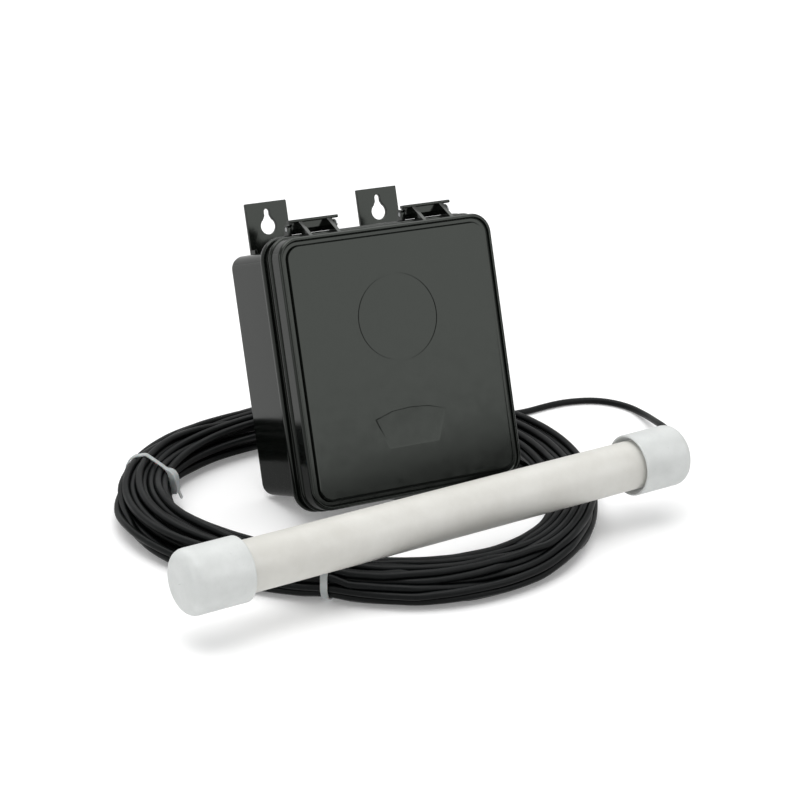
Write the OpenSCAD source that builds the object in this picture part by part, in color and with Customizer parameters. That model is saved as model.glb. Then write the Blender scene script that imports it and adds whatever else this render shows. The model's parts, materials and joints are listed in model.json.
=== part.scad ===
// Vehicle detection probe kit: a wall-hung transmitter case with a hinged lid,
// a long buried-type cable in a tied coil, and a metal-detecting probe in capped pipe.
// Millimetres, +Z up, the case faces -Y. The origin is on the floor, under the middle
// of the box that holds the case and the probe.

/* [Case] */
// Width of the lid
lid_w = 161; // [150:1:175]
// Height of the lid
lid_h = 184; // [176:1:200]
// Depth of the closed case, lid face to wall face
case_d = 98; // [92:1:110]
// Width of the base box behind the flange
base_w = 152; // [146:1:154]
// Height of the base box behind the flange
base_h = 169; // [166:1:172]
// Radius of the lid's corners, seen from the front
corner_r = 14; // [12:0.5:15]
// Wall thickness of the mouldings
wall = 3; // [2.4:0.1:3.4]
// Depth of the lid shell
lid_d = 17.6; // [16:0.1:18]
// How far the case leans back from upright
lean = 17.2; // [10:0.1:20]
// Middle of the case from the origin, left to right
case_x = 28.5; // [20:0.5:40]
// Rear bottom edge of the case from the origin, front to back
case_y = 83; // [78:0.5:90]

/* [Keyhole tabs] */
// Distance between the two keyholes
tab_spacing = 87; // [80:1:95]
// Width of a tab
tab_w = 31.5; // [28:0.5:36]
// Rise of a tab above the base box
tab_rise = 35.5; // [32:0.5:40]
// Radius of the keyhole's round entry
key_r = 5.8; // [4.5:0.1:6.5]
// Radius of the keyhole's slot
key_slot_r = 2.1; // [1.8:0.1:2.6]
// Height of the entry's centre above the base box
key_rise = 18.4; // [17:0.1:20]

/* [Lid] */
// Radius of the shallow ring on the lid's face
ring_r = 30; // [20:1:40]
// Height of the ring's centre above the lid's lower edge
ring_z = 121.6; // [100:0.1:130]
// Distance between the two hinges
hinge_spacing = 86; // [80:1:92]
// Width of one hinge
hinge_w = 36.6; // [32:0.1:40]
// Width of the latch tab
latch_w = 37; // [24:1:44]

/* [Probe] */
// Outer diameter of the pipe
tube_d = 33.4; // [33.4:0.1:33.4]
// Bore of the pipe
tube_bore = 26.6; // [26:0.1:27]
// Outer diameter of the end caps
cap_d = 42; // [40:0.5:44]
// Length of an end cap
cap_l = 42; // [38:1:46]
// Length of the probe over both caps
probe_l = 392; // [380:1:400]
// Height of the probe's axis above the floor
probe_z = 42; // [42:0.5:44]
// Angle of the probe, seen from above
probe_turn = 7.6; // [5:0.1:9]
// Middle of the blind end cap's end face, left to right
probe_x = -194.3; // [-198:0.1:-190]
// Middle of the blind end cap's end face, front to back
probe_y = -123; // [-126:0.5:-118]

/* [Cable] */
// Diameter of the cable
cable_d = 5; // [5:0.1:5]
// Middle radius of the coil
coil_r = 152; // [150:1:154]
// Width of the coil's bundle
coil_band = 56; // [50:1:56]
// Height of the coil's bundle
coil_rise = 24; // [22:1:25]

/* [Circuit] */
// Width of the circuit board
board_w = 112; // [100:1:118]
// Height of the circuit board
board_h = 76; // [70:1:78]
// Number of levers on the code switch
levers = 8; // [8:1:8]
// Number of batteries
cells = 3; // [3:1:3]

/* [Hidden] */
$fn = 64;
gap = 0.3;
tiny = 0.01;

// Case, in its own frame: X from its middle, Y from the wall face (front is negative),
// Z from the underside of the base box
lid_z = (base_h - lid_h) / 2;
lid_top = lid_z + lid_h;
mid_z = base_h / 2;
base_r = corner_r - 5;
rim_front = -80;
lid_rear = -case_d + lid_d;
flange_front = -74;
flange_rear = -70;
flange_out = 1.5;
rim_in = 1.5;
hinge_y = -72;
hinge_z = 182.5;
pin_r = 1.5;
pin_play = 0.05;
lug_t = 2.4;
lug_r = 3.2;
barrel_r = 4;
groove_w = 3;
seal_line_w = base_w;
seal_line_h = base_h + 3;

// Cable exit in the case's underside
exit_x = 19.5;
exit_y = -61.5;
bush_r = 7;
bush_rise = 2.5;

// Circuit board and batteries
board_x = -8;
board_z = 12;
boss_h = 8;
board_y = -wall - boss_h;
board_t = 1.6;
board_front = board_y - board_t;
cell_r = 7.15;
cell_l = 49.2;
cell_pitch = 15.4;
holder_x = -26;
holder_z = 96;
holder_w = 58;
holder_h = cells * cell_pitch + 2;
holder_d = 16;
dip_pitch = 2.54;
dip_x = -30;
dip_z = 62;
dip_travel = 1.6;
power_x = 30;
power_z = 74;
power_travel = 2.2;
trim_x = 12;
trim_z = 66;

// Probe, in its own frame: Z along its axis from the blind end
cap_end = 5.5;
tube_from = cap_end + 0.1;
tube_to = probe_l - cap_end - 0.1;
core_r = 4;
seal_r = 4.5;
seal_rise = 1;

// Middle of the coil on the floor
coil_at = [9.5, 36];

// Route of the cable from the case to the coil
box_route = [
    [48, 23.5, 15.8], [48, 21.8, 12], [48, 18.8, 8], [48.1, 14.9, 5], [48.7, 10.3, 3.2],
    [50.3, 5.6, 2.5], [53.3, 1.4, 2.5], [57.5, -1.9, 2.5], [63, -4, 2.5], [70, -4.8, 2.5],
    [79, -4.2, 2.5], [89.5, -3, 2.5], [99.5, -3.2, 2.5], [108.5, -6, 2.6], [116.5, -11.5, 3],
    [122.5, -19, 4], [126.5, -28, 5.2], [128.8, -36.5, 6.2]
];

// Route of the cable from the coil to the probe
probe_route = [
    [92, 176.5, 21.5], [106, 171.5, 21], [120, 166.5, 19], [133, 162, 16], [146, 158, 12],
    [158, 154.5, 8], [170, 151.5, 5], [182, 148.5, 3], [194, 146.5, 2.5], [206, 147, 2.5],
    [217, 149, 2.5], [229, 151, 2.5], [241, 151.5, 2.5], [252.5, 149.5, 2.5], [262.5, 145.5, 2.5],
    [271, 138, 2.5], [277, 127.5, 2.5], [280, 115, 2.7], [279, 102, 3.7], [275.5, 85.5, 6],
    [270, 68, 9], [263.5, 48, 12.6], [256, 29, 16.3], [247.5, 9.5, 20.5], [237.5, -9, 25],
    [227.5, -26, 29.8], [219, -40.5, 34], [212.2, -52, 37.8], [207, -60.5, 40.6], [202, -67, 41.9],
    [195.3, -71, 42]
];

// Route of the cable inside the case, in the case's frame
inner_route = [
    [19.5, -61.5, -2.5], [19.5, -61.5, 3], [19.5, -60.5, 7.5], [19.5, -57, 11.5],
    [19.5, -51.5, 13.5], [19.5, -44, 14], [19.5, -36, 13.5], [19.5, -28, 13]
];

// ---- Placing and shared shapes ----

module place_case() {
    translate([case_x, case_y, 0]) rotate([-lean, 0, 0]) children();
}

module place_probe() {
    translate([probe_x, probe_y, probe_z]) rotate([0, 0, probe_turn]) rotate([0, 90, 0]) children();
}

// Rectangle with round corners, about the origin
module round_rect(w, h, r) {
    square([w - 2 * r, h], center = true);
    square([w, h - 2 * r], center = true);
    for (sx = [-1, 1], sz = [-1, 1]) translate([sx * (w / 2 - r), sz * (h / 2 - r)]) circle(r);
}

// Upright slab with round corners, centred on the case, from y_rear forward by depth
module slab(w, h, r, y_rear, depth) {
    translate([0, y_rear, mid_z]) rotate([90, 0, 0]) linear_extrude(depth) round_rect(w, h, r);
}

// Frame: a slab with a slab-shaped opening through it
module frame(w, h, r, band, y_rear, depth) {
    difference() {
        slab(w, h, r, y_rear, depth);
        slab(w - 2 * band, h - 2 * band, max(r - band, 1), y_rear + 1, depth + 2);
    }
}

// Block between two corners
module block(low, high) {
    translate(low) cube(high - low);
}

// Rod between two heights on the Z axis
module rod(r, z0, z1) {
    translate([0, 0, z0]) cylinder(r = r, h = z1 - z0);
}

// Rod pointing to the front, from y_rear forward by length
module rod_y(r, x, z, y_rear, length) {
    translate([x, y_rear, z]) rotate([90, 0, 0]) cylinder(r = r, h = length);
}

// Rod along X between two places
module rod_x(r, x0, x1, y, z) {
    translate([x0, y, z]) rotate([0, 90, 0]) cylinder(r = r, h = x1 - x0);
}

// Washer along the Z axis
module washer(r_out, r_in, z0, z1) {
    difference() {
        rod(r_out, z0, z1);
        rod(r_in, z0 - 1, z1 + 1);
    }
}

function unit(v) = v / norm(v);

function heading(path, i) =
    unit(path[min(i + 1, len(path) - 1)] - path[max(i - 1, 0)]);

// One ring of points round a route, turned about a fixed direction
function ring(path, i, r, sides, about) =
    let (t = heading(path, i), u = unit(cross(t, about)), v = cross(t, u))
    [for (k = [0:sides - 1])
        path[i] + r * (cos(360 * k / sides) * u + sin(360 * k / sides) * v)];

// Tube swept along a route as one closed solid
module tube_along(path, r, sides, about) {
    rings = len(path);
    points = [for (i = [0:rings - 1]) for (p = ring(path, i, r, sides, about)) p];
    skin = [for (i = [0:rings - 2], k = [0:sides - 1])
        let (a = i * sides + k, b = i * sides + (k + 1) % sides)
        each [[a, b, b + sides], [a, b + sides, a + sides]]];
    front = [for (k = [sides - 1:-1:0]) k];
    back = [for (k = [0:sides - 1]) (rings - 1) * sides + k];
    polyhedron(points, concat(skin, [front, back]), convexity = 6);
}

// ---- Case ----

module base_housing() {
    color("#17191a") place_case() difference() {
        union() {
            slab(base_w, base_h, base_r, 0, -flange_rear + tiny);
            slab(lid_w + 2 * flange_out, lid_h + 2 * flange_out, corner_r + flange_out,
                flange_rear, flange_rear - flange_front);
            slab(lid_w - 2 * rim_in, lid_h - 2 * rim_in, corner_r - rim_in,
                flange_front + tiny, flange_front - rim_front + tiny);
        }
        slab(base_w - 2 * wall, base_h - 2 * wall, base_r - wall, -wall, case_d);
        difference() {
            slab(seal_line_w + groove_w, seal_line_h + groove_w, corner_r - 3,
                rim_front + 2.2, 4);
            slab(seal_line_w - groove_w, seal_line_h - groove_w, corner_r - 6,
                rim_front + 3, 6);
        }
        translate([exit_x, exit_y, -1]) cylinder(r = bush_r - 1.5, h = wall + 2);
    }
}

module hinge_lug(x0) {
    // Side outline in Y and Z: an ear on the flange, with a web down to the top wall
    outline = [
        [hinge_y - lug_r, lid_top + flange_out], [flange_rear, lid_top + flange_out],
        [flange_rear, base_h], [flange_rear + 16, base_h], [hinge_y + lug_r, hinge_z - 2.5],
        [hinge_y + lug_r, hinge_z], [hinge_y - lug_r, hinge_z]
    ];
    difference() {
        union() {
            translate([x0, 0, 0]) rotate([90, 0, 90]) linear_extrude(lug_t) polygon(outline);
            rod_x(lug_r, x0, x0 + lug_t, hinge_y, hinge_z);
        }
        rod_x(pin_r, x0 - 1, x0 + lug_t + 1, hinge_y, hinge_z);
    }
}

module base_hinge_lugs() {
    color("#17191a") place_case() for (s = [-1, 1], e = [0, 1])
        hinge_lug(s * hinge_spacing / 2 - hinge_w / 2 + e * (hinge_w - lug_t));
}

module keyhole_tab(x) {
    top = base_h + tab_rise;
    entry = base_h + key_rise;
    slot_top = entry + 10.2;
    difference() {
        union() {
            block([x - tab_w / 2, -wall, base_h], [x + tab_w / 2, 0, top]);
            for (s = [-1, 1]) {
                side = x + s * (tab_w / 2 - 1);
                block([side - 1, -9, base_h], [side + 1, -wall + tiny, base_h + 3]);
            }
        }
        rod_y(key_r, x, entry, 1, wall + 2);
        rod_y(key_slot_r, x, slot_top, 1, wall + 2);
        block([x - key_slot_r, -wall - 1, entry], [x + key_slot_r, 1, slot_top]);
    }
}

module base_tabs() {
    color("#17191a") place_case() for (s = [-1, 1]) keyhole_tab(s * tab_spacing / 2);
}

module board_boss(x, z) {
    difference() {
        rod_y(3.5, x, z, -wall, boss_h);
        rod_y(1.25, x, z, -wall - 1, boss_h + 1);
    }
}

module base_bosses() {
    color("#17191a") place_case() {
        for (sx = [-1, 1], sz = [0, 1])
            board_boss(board_x + sx * (board_w / 2 - 5), board_z + 5 + sz * (board_h - 10));
        for (s = [-1, 1]) {
            side = holder_x + s * (holder_w / 2 + 1.8);
            block([side - 1, -12, holder_z], [side + 1, -wall, holder_z + holder_h]);
        }
    }
}

module lid_gusset(x) {
    // Side outline in Y and Z, standing on the lid's top edge and reaching the barrel
    outline = [
        [-case_d + 2, lid_top - 1], [-case_d + 20, hinge_z + 5.6],
        [hinge_y - 0.5, hinge_z + 5.6], [hinge_y, hinge_z + 1], [hinge_y - 3, hinge_z - 2.4],
        [lid_rear - 1.5, hinge_z - 3.4], [lid_rear - 1.5, lid_top - 1]
    ];
    difference() {
        translate([x - 1.1, 0, 0]) rotate([90, 0, 90]) linear_extrude(2.2) polygon(outline);
        rod_x(pin_r + pin_play, x - 3, x + 3, hinge_y, hinge_z);
    }
}

module lid_hinge(x) {
    half = hinge_w / 2;
    inner = half - lug_t - gap;
    difference() {
        rod_x(barrel_r, x - inner, x + inner, hinge_y, hinge_z);
        rod_x(pin_r + pin_play, x - half, x + half, hinge_y, hinge_z);
    }
    block([x - half, -case_d + 18.5, hinge_z + 3.6], [x + half, -case_d + 24, hinge_z + 5.8]);
    for (s = [-1, 1]) lid_gusset(x + s * 10.5);
}

module lid_shell() {
    face_t = wall;
    difference() {
        slab(lid_w, lid_h, corner_r, lid_rear, lid_d);
        slab(lid_w - 2 * wall, lid_h - 2 * wall, corner_r - wall, lid_rear + 1,
            lid_d - face_t + 1);
        translate([0, -case_d + 0.6, lid_z + ring_z]) rotate([90, 0, 0]) difference() {
            cylinder(r = ring_r, h = 2);
            translate([0, 0, -1]) cylinder(r = ring_r - 0.8, h = 4);
        }
        translate([0, -case_d + 0.5, lid_z + 34]) rotate([90, 0, 0]) linear_extrude(2)
            polygon([[-19, 0], [19, 0], [27, 21], [14, 25], [0, 26], [-14, 25], [-27, 21]]);
    }
}

module lid() {
    color("#17191a") place_case() {
        lid_shell();
        frame(seal_line_w + 2, seal_line_h + 2, corner_r - 4, 2,
            rim_front - 0.7, case_d + rim_front - 0.7 - wall + tiny);
        for (s = [-1, 1]) lid_hinge(s * hinge_spacing / 2);
        block([-latch_w / 2, -case_d + 3, lid_z - 1.5], [latch_w / 2, flange_front - 2, lid_z - 0.5]);
        block([-latch_w / 2, -case_d + 3, lid_z - 1.5], [latch_w / 2, lid_rear, lid_z + tiny]);
    }
}

module lid_gasket() {
    color("#2b2b2b") place_case()
        frame(seal_line_w + groove_w - 0.2, seal_line_h + groove_w - 0.2, corner_r - 3.1,
            groove_w - 0.2, rim_front + 2.2, 2.5);
}

module hinge_pin(x) {
    half = hinge_w / 2;
    rod_x(pin_r, x - half, x + half + tiny, hinge_y, hinge_z);
    rod_x(2.4, x + half, x + half + 1, hinge_y, hinge_z);
}

module hinge_pin_left() { color("#8e9296") place_case() hinge_pin(-hinge_spacing / 2); }

module hinge_pin_right() { color("#8e9296") place_case() hinge_pin(hinge_spacing / 2); }

module cable_bushing() {
    color("#101112") place_case() translate([exit_x, exit_y, 0]) difference() {
        union() {
            rod(bush_r, -bush_rise, 0);
            rod(bush_r - 1.5, -tiny, wall + tiny);
            rod(bush_r - 0.4, wall, wall + 1.6);
        }
        rod(cable_d / 2, -bush_rise - 1, wall + 3);
    }
}

// ---- Circuit ----

module circuit_board() {
    color("#1f6b3a") place_case() difference() {
        block([board_x - board_w / 2, board_front, board_z],
            [board_x + board_w / 2, board_y, board_z + board_h]);
        for (sx = [-1, 1], sz = [0, 1])
            rod_y(1.6, board_x + sx * (board_w / 2 - 5), board_z + 5 + sz * (board_h - 10),
                board_y + 1, board_t + 2);
    }
}

module board_screws() {
    color("#b9bcc0") place_case() for (sx = [-1, 1], sz = [0, 1]) {
        x = board_x + sx * (board_w / 2 - 5);
        z = board_z + 5 + sz * (board_h - 10);
        difference() {
            rod_y(2.8, x, z, board_front, 1.8);
            block([x - 1.8, board_front - 3, z - 0.3], [x + 1.8, board_front - 1, z + 0.3]);
            block([x - 0.3, board_front - 3, z - 1.8], [x + 0.3, board_front - 1, z + 1.8]);
        }
        rod_y(1.25, x, z, -wall - 2, boss_h - 2 + board_t + 0.5);
    }
}

module radio_module() {
    color("#c7cacd") place_case()
        block([board_x + 20, board_front - 3.4, board_z + 26],
            [board_x + 40, board_front, board_z + 48]);
}

module antenna() {
    top = board_z + board_h;
    x = board_x + 50;
    y = board_front - 5.5;
    route = [
        [x, board_front, top - 26], [x, board_front - 3, top - 26], [x, y + 0.7, top - 25.3],
        [x, y, top - 23], [x, y, top + 54], [x - 0.7, y, top + 57.3], [x - 2.7, y, top + 59.3],
        [x - 6, y, top + 60], [x - 34, y, top + 60]
    ];
    color("#c08a4a") place_case() tube_along(route, 0.8, 8, [0.4, 1, -0.6]);
}

module microcontroller() {
    color("#1c1c1e") place_case() {
        block([board_x - 8, board_front - 3.6, board_z + 22],
            [board_x + 8, board_front - 0.4, board_z + 30]);
        for (i = [0:7], s = [-1, 1]) {
            x = board_x - 7 + 2 * i;
            z = board_z + 26 + s * 4.6;
            block([x - 0.3, board_front - 2, z - 0.7], [x + 0.3, board_front, z + 0.7]);
        }
    }
}

module board_capacitors() {
    color("#2d3e66") place_case() {
        for (x = [-44, -34]) rod_y(4, board_x + x, board_z + 16, board_front, 11);
        for (x = [-20, -14, 12]) rod_y(2.2, board_x + x, board_z + 38, board_front, 5);
    }
}

module terminal_block() {
    w = 15.3;
    color("#2f8f5b") place_case() difference() {
        block([exit_x - w / 2, board_front - 10, board_z + 5], [exit_x + w / 2, board_front, board_z + 15]);
        for (i = [-1:1]) {
            x = exit_x + i * 5.08;
            translate([x, board_front - 4, board_z + 4]) cylinder(r = 1.4, h = 7);
            rod_y(1.9, x, board_z + 10, board_front - 6.5, 5);
        }
    }
}

module terminal_screws() {
    color("#c3c6c9") place_case() for (i = [-1:1]) {
        x = exit_x + i * 5.08;
        difference() {
            rod_y(1.8, x, board_z + 10, board_front - 6.5, 2);
            block([x - 2, board_front - 9, board_z + 9.7], [x + 2, board_front - 7.9, board_z + 10.3]);
        }
    }
}

module power_switch_body() {
    color("#8f9396") place_case() difference() {
        block([power_x - 6.5, board_front - 5, power_z - 3], [power_x + 6.5, board_front, power_z + 3]);
        block([power_x - 3.6, board_front - 6, power_z - 1.6], [power_x + 3.6, board_front - 3, power_z + 1.6]);
    }
}

module power_switch_slider() {
    color("#101113") place_case()
        block([power_x - 3.3, board_front - 8, power_z - 1.3],
            [power_x + 3.3 - power_travel, board_front - 3.3, power_z + 1.3]);
}

function dip_at(i) = dip_x + (i - (levers + 1) / 2) * dip_pitch;

module dip_switch_body() {
    half = levers * dip_pitch / 2 + 0.8;
    color("#b0302a") place_case() difference() {
        block([dip_x - half, board_front - 4.6, dip_z - 4.9], [dip_x + half, board_front, dip_z + 4.9]);
        for (i = [1:levers])
            block([dip_at(i) - 0.8, board_front - 6, dip_z - 1.9],
                [dip_at(i) + 0.8, board_front - 3, dip_z + 1.9]);
    }
}

module dip_lever(i) {
    color("#f2f2ee") place_case()
        block([dip_at(i) - 0.6, board_front - 5.2, dip_z - 1.7],
            [dip_at(i) + 0.6, board_front - 3.2, dip_z + 1.7 - dip_travel]);
}

module trimmer_body() {
    color("#2a5fa8") place_case() difference() {
        block([trim_x - 3.4, board_front - 4, trim_z - 3.4], [trim_x + 3.4, board_front, trim_z + 3.4]);
        rod_y(2.6, trim_x, trim_z, board_front - 2, 4);
    }
}

module trimmer_rotor() {
    color("#e8e6df") place_case() difference() {
        rod_y(2.55, trim_x, trim_z, board_front - 2.2, 2.2);
        block([trim_x - 2, board_front - 6, trim_z - 0.35], [trim_x + 2, board_front - 3.4, trim_z + 0.35]);
    }
}

module status_led() {
    color("#c8201c") place_case() {
        rod_y(1.9, board_x + 44, board_z + 12, board_front, 1);
        rod_y(1.5, board_x + 44, board_z + 12, board_front - 1, 2.8);
        translate([board_x + 44, board_front - 3.8, board_z + 12]) sphere(1.5);
    }
}

// ---- Batteries ----

function cell_z(i) = holder_z + 1 + (i - 0.5) * cell_pitch;

module battery_holder() {
    low = [holder_x - holder_w / 2, -wall - holder_d, holder_z];
    color("#1b1c1e") place_case() difference() {
        block(low, low + [holder_w, holder_d - gap, holder_h]);
        for (i = [1:cells])
            rod_x(cell_r + 0.35, holder_x - holder_w / 2 + 1.5, holder_x + holder_w / 2 - 1.5,
                -wall - holder_d + 5.5, cell_z(i));
        block(low + [1.5, -1, 1.5], [holder_x + holder_w / 2 - 1.5, -wall - holder_d + 5.5,
            holder_z + holder_h - 1.5]);
    }
}

module battery(i) {
    side = i % 2 == 0 ? 1 : -1;
    y = -wall - holder_d + 5.5;
    color("#b8763a") place_case() {
        rod_x(cell_r, holder_x - cell_l / 2, holder_x + cell_l / 2, y, cell_z(i));
        nub = side > 0 ? holder_x + cell_l / 2 - tiny : holder_x - cell_l / 2 - 1.2;
        rod_x(2.7, nub, nub + 1.2 + tiny, y, cell_z(i));
    }
}

module battery_springs() {
    y = -wall - holder_d + 5.5;
    color("#c9ccd0") place_case() for (i = [1:cells]) {
        side = i % 2 == 0 ? -1 : 1;
        x = holder_x + side * (holder_w / 2 - 1.5);
        rod_x(4, min(x, x - side * 0.5), max(x, x - side * 0.5), y, cell_z(i));
        rod_x(2.4, min(x, x - side * 2.7), max(x, x - side * 2.7), y, cell_z(i));
    }
}

module battery_contacts() {
    y = -wall - holder_d + 5.5;
    color("#c9ccd0") place_case() for (i = [1:cells]) {
        side = i % 2 == 0 ? 1 : -1;
        x = holder_x + side * (holder_w / 2 - 1.5);
        rod_x(4, min(x, x - side * 0.5), max(x, x - side * 0.5), y, cell_z(i));
        rod_x(2, min(x, x - side * 1.5), max(x, x - side * 1.5), y, cell_z(i));
    }
}

module battery_lead(dx) {
    top = board_z + board_h;
    start = holder_x + holder_w / 2;
    x = start + 5 + dx;
    z = holder_z + 8 + 2 * dx;
    route = [
        [start, -15, z], [start + 2, -15, z], [x - 1, -15, z - 1], [x, -15.5, z - 4],
        [x, -16.5, top + 3], [x, -17, top - 3], [x, -16, top - 6.2], [x, -14, top - 7],
        [x, board_front, top - 7]
    ];
    place_case() tube_along(route, 0.7, 8, [0.5, 0.5, 1]);
}

module battery_lead_red() { color("#b3201e") battery_lead(0); }

module battery_lead_black() { color("#141414") battery_lead(2.4); }

module cable_inner() {
    color("#141516") place_case() tube_along(inner_route, cable_d / 2, 8, [1, 0.1, 0.05]);
}

module conductors() {
    color("#d8d8d2") place_case() for (i = [-1:1]) {
        x = exit_x + i * 5.08;
        y = board_front - 4;
        route = [
            [exit_x + i * 1.5, -27.9, 12.9], [exit_x + i * 1.6, -26, 12.7],
            [exit_x + i * 3, -22, 11.5], [x - i * 0.6, y - 1.5, 11.8], [x, y, 13.5],
            [x, y, board_z + 8]
        ];
        tube_along(route, 0.6, 8, [1, 0.1, 0.05]);
    }
}

// ---- Cable outside the case ----

module cable_box_lead() {
    color("#141516") tube_along(box_route, cable_d / 2, 10, [1, 0.2, 0.1]);
}

module cable_probe_lead() {
    color("#141516") tube_along(probe_route, cable_d / 2, 10, [0, 0, 1]);
}

module coil_section(w, h) {
    translate([coil_r, h / 2]) {
        square([w - h, h], center = true);
        for (s = [-1, 1]) translate([s * (w - h) / 2, 0]) circle(h / 2);
    }
}

module cable_coil() {
    color("#141516") translate([coil_at[0], coil_at[1], 0])
        rotate_extrude($fn = 128) coil_section(coil_band, coil_rise);
}

// Strap round the bundle at an angle, with its locking head on the given side
module cable_tie(angle, head) {
    t = 1.2;
    half = coil_band / 2;
    translate([coil_at[0], coil_at[1], 0]) rotate([0, 0, angle]) {
        rotate([90, 0, 0]) translate([0, 0, -2.4]) linear_extrude(4.8) difference() {
            translate([0, 0]) coil_section(coil_band + 2 * t, coil_rise + t);
            translate([0, 0]) coil_section(coil_band, coil_rise);
        }
        block([coil_r + head * (half - 1) - 3.5, -3.6, coil_rise - 5],
            [coil_r + head * (half - 1) + 3.5, 3.6, coil_rise + 1.2]);
    }
}

module cable_tie_left() { color("#d9dcda") cable_tie(141, -1); }

module cable_tie_front() { color("#d9dcda") cable_tie(235, -1); }

// ---- Probe ----

module probe_tube() {
    color("#ecebe3") place_probe() washer(tube_d / 2, tube_bore / 2, tube_from, tube_to);
}

// End cap: a socket for the pipe with a rounded, slightly domed end at Z 0
module end_cap() {
    round_r = 5;
    dome_r = 160;
    difference() {
        intersection() {
            rotate_extrude() {
                translate([0, round_r]) square([cap_d / 2, cap_l - round_r]);
                square([cap_d / 2 - round_r, cap_l]);
                translate([cap_d / 2 - round_r, round_r]) circle(round_r);
            }
            translate([0, 0, dome_r]) sphere(dome_r, $fn = 128);
        }
        rod(tube_d / 2, cap_end, cap_l + 1);
    }
}

module probe_cap_blind() { color("#f1f2f0") place_probe() end_cap(); }

module probe_cap_cable() {
    color("#f1f2f0") place_probe() difference() {
        translate([0, 0, probe_l]) mirror([0, 0, 1]) end_cap();
        rod(seal_r, probe_l - cap_end - 1, probe_l + 1);
    }
}

module probe_cable_seal() {
    color("#1b1c1d") place_probe() washer(seal_r, cable_d / 2, probe_l - cap_end, probe_l + seal_rise);
}

module sensor_core() { color("#4a4743") place_probe() rod(core_r, 30, 296); }

module sensor_bobbin() {
    color("#d8cfa8") place_probe() {
        washer(6, core_r, 88, 252);
        washer(12, core_r, 88, 90);
        washer(12, core_r, 250, 252);
    }
}

module sensor_winding() { color("#a4552a") place_probe() washer(10.5, 6, 90, 250); }

module centring_disc(z) {
    color("#3a3a3c") place_probe() washer(tube_bore / 2, core_r, z, z + 10);
}

module centring_disc_near() { centring_disc(40); }

module centring_disc_far() { centring_disc(280); }

module amplifier_board() {
    color("#1f6b3a") place_probe() block([-0.8, -9, 302], [0.8, 9, 352]);
}

module amplifier_chip() {
    color("#1c1c1e") place_probe() {
        block([-3, -3, 316], [-0.8, 3, 324]);
        block([-3.6, -4, 334], [-0.8, 4, 342]);
    }
}

module probe_cable_clamp() {
    color("#141516") place_probe() {
        rod(cable_d / 2, 352, probe_l + tiny);
        rod(6.5, 372, 378);
    }
}

base_housing();
base_tabs();
base_hinge_lugs();
base_bosses();
lid();
lid_gasket();
hinge_pin_left();
hinge_pin_right();
cable_bushing();
circuit_board();
board_screws();
radio_module();
antenna();
microcontroller();
board_capacitors();
terminal_block();
terminal_screws();
power_switch_body();
power_switch_slider();
dip_switch_body();
dip_lever(1);  // dip_lever_1
dip_lever(2);  // dip_lever_2
dip_lever(3);  // dip_lever_3
dip_lever(4);  // dip_lever_4
dip_lever(5);  // dip_lever_5
dip_lever(6);  // dip_lever_6
dip_lever(7);  // dip_lever_7
dip_lever(8);  // dip_lever_8
trimmer_body();
trimmer_rotor();
status_led();
battery_holder();
battery_springs();
battery_contacts();
battery(1);  // battery_1
battery(2);  // battery_2
battery(3);  // battery_3
battery_lead_red();
battery_lead_black();
cable_inner();
conductors();
cable_box_lead();
cable_coil();
cable_probe_lead();
cable_tie_left();
cable_tie_front();
probe_tube();
probe_cap_blind();
probe_cap_cable();
probe_cable_seal();
sensor_core();
sensor_bobbin();
sensor_winding();
centring_disc_near();
centring_disc_far();
amplifier_board();
amplifier_chip();
probe_cable_clamp();
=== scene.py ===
import json
import math

import bmesh
import bpy
import numpy as np
from mathutils import Matrix, Vector

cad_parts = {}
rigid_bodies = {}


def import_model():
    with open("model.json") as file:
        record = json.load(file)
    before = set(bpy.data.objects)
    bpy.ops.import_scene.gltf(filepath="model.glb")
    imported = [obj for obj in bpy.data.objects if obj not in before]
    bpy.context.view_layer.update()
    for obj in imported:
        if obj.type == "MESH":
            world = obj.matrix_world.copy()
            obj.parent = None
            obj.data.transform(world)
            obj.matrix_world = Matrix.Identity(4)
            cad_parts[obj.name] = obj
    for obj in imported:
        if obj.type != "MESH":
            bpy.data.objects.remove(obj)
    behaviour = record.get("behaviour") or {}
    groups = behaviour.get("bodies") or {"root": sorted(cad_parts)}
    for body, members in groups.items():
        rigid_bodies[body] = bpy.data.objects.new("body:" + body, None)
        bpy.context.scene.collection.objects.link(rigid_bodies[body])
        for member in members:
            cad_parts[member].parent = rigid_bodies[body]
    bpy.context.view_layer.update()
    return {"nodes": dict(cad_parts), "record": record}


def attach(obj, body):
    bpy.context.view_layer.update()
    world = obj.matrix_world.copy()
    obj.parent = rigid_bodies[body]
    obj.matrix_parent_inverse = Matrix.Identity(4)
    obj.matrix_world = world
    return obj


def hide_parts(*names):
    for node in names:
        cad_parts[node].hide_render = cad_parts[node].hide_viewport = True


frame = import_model()
nodes = frame["nodes"]

MM = 0.001
LEAN = math.radians(17.2)
CASE = Matrix.Translation((28.5 * MM, 83.0 * MM, 0)) @ Matrix.Rotation(-LEAN, 4, "X") @ Matrix.Scale(MM, 4)
PROBE = (
    Matrix.Translation((-194.3 * MM, -123.0 * MM, 42.0 * MM))
    @ Matrix.Rotation(math.radians(7.6), 4, "Z")
    @ Matrix.Rotation(math.radians(90), 4, "Y")
    @ Matrix.Scale(MM, 4)
)
collection = bpy.context.scene.collection


# ---- Camera ----

def aim(obj, target):
    obj.rotation_euler = (Vector(target) - obj.location).to_track_quat("-Z", "Y").to_euler()


cam_data = bpy.data.cameras.new("camera")
cam_data.sensor_width = 36
cam_data.lens = 108.99
cam_data.clip_start = 0.05
cam = bpy.data.objects.new("camera", cam_data)
cam.location = (-0.6927, -1.3677, 0.6229)
aim(cam, (0.0116, -0.0130, 0.0921))
collection.objects.link(cam)
bpy.context.scene.camera = cam


# ---- Materials ----

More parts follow.
